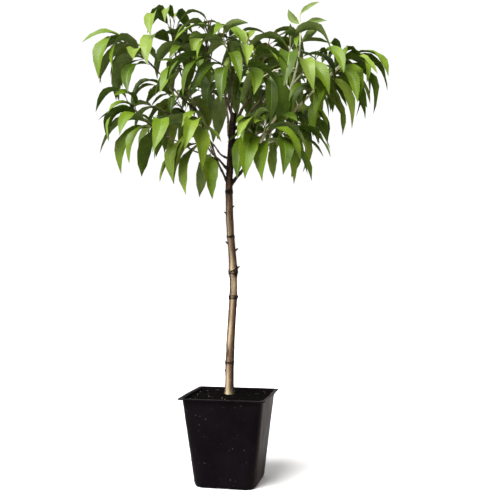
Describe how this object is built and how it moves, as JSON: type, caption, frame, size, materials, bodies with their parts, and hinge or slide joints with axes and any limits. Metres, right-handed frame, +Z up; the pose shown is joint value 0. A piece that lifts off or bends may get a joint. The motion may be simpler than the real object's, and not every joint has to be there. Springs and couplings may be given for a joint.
{
  "type": "dwarf peach tree in a nursery pot",
  "caption": "Young dwarf peach tree trained as a short standard: a slim jointed stem, a spreading crown of long drooping leaves, and a square tapered plastic pot filled with compost",
  "frame": {"origin": "middle of the flat underside of the pot, on the surface that it stands on", "axes": "+Z up along the stem, X and Y square to the pot's sides, -Y to the pot's front side"},
  "size_m": [0.5312, 0.4135, 0.8864],
  "materials": {
    "pot_plastic": "black moulded plastic with a soft sheen, rubbed brownish at the upright corners",
    "compost": "moist dark compost with pale grit",
    "bark": "tan young bark with ring scars, near black towards the cut top",
    "foliage": "satin green leaves, paler beneath"
  },
  "bodies": {
    "root": {"pot": "pot_plastic", "soil": "compost", "trunk": "bark", "bough_left_leader": "bark", "bough_right_leader": "bark", "bough_right": "bark", "bough_left": "bark", "bough_far_right": "bark", "bough_far_left": "bark", "bough_low_left": "bark", "bough_front_right": "bark", "bough_front_left": "bark", "bough_front": "bark", "bough_middle_right": "bark", "bough_back_left": "bark", "bough_back_right": "bark", "bough_back": "bark", "leaves_front_right": "foliage", "leaves_front_left": "foliage", "leaves_front": "foliage", "leaves_low_left": "foliage", "leaves_far_left": "foliage", "leaves_left": "foliage", "leaves_left_leader": "foliage", "leaves_right": "foliage", "leaves_right_leader": "foliage", "leaves_far_right": "foliage", "leaves_middle_right": "foliage", "leaves_back_left": "foliage", "leaves_back_right": "foliage", "leaves_back": "foliage"}
  },
  "joints": []
}
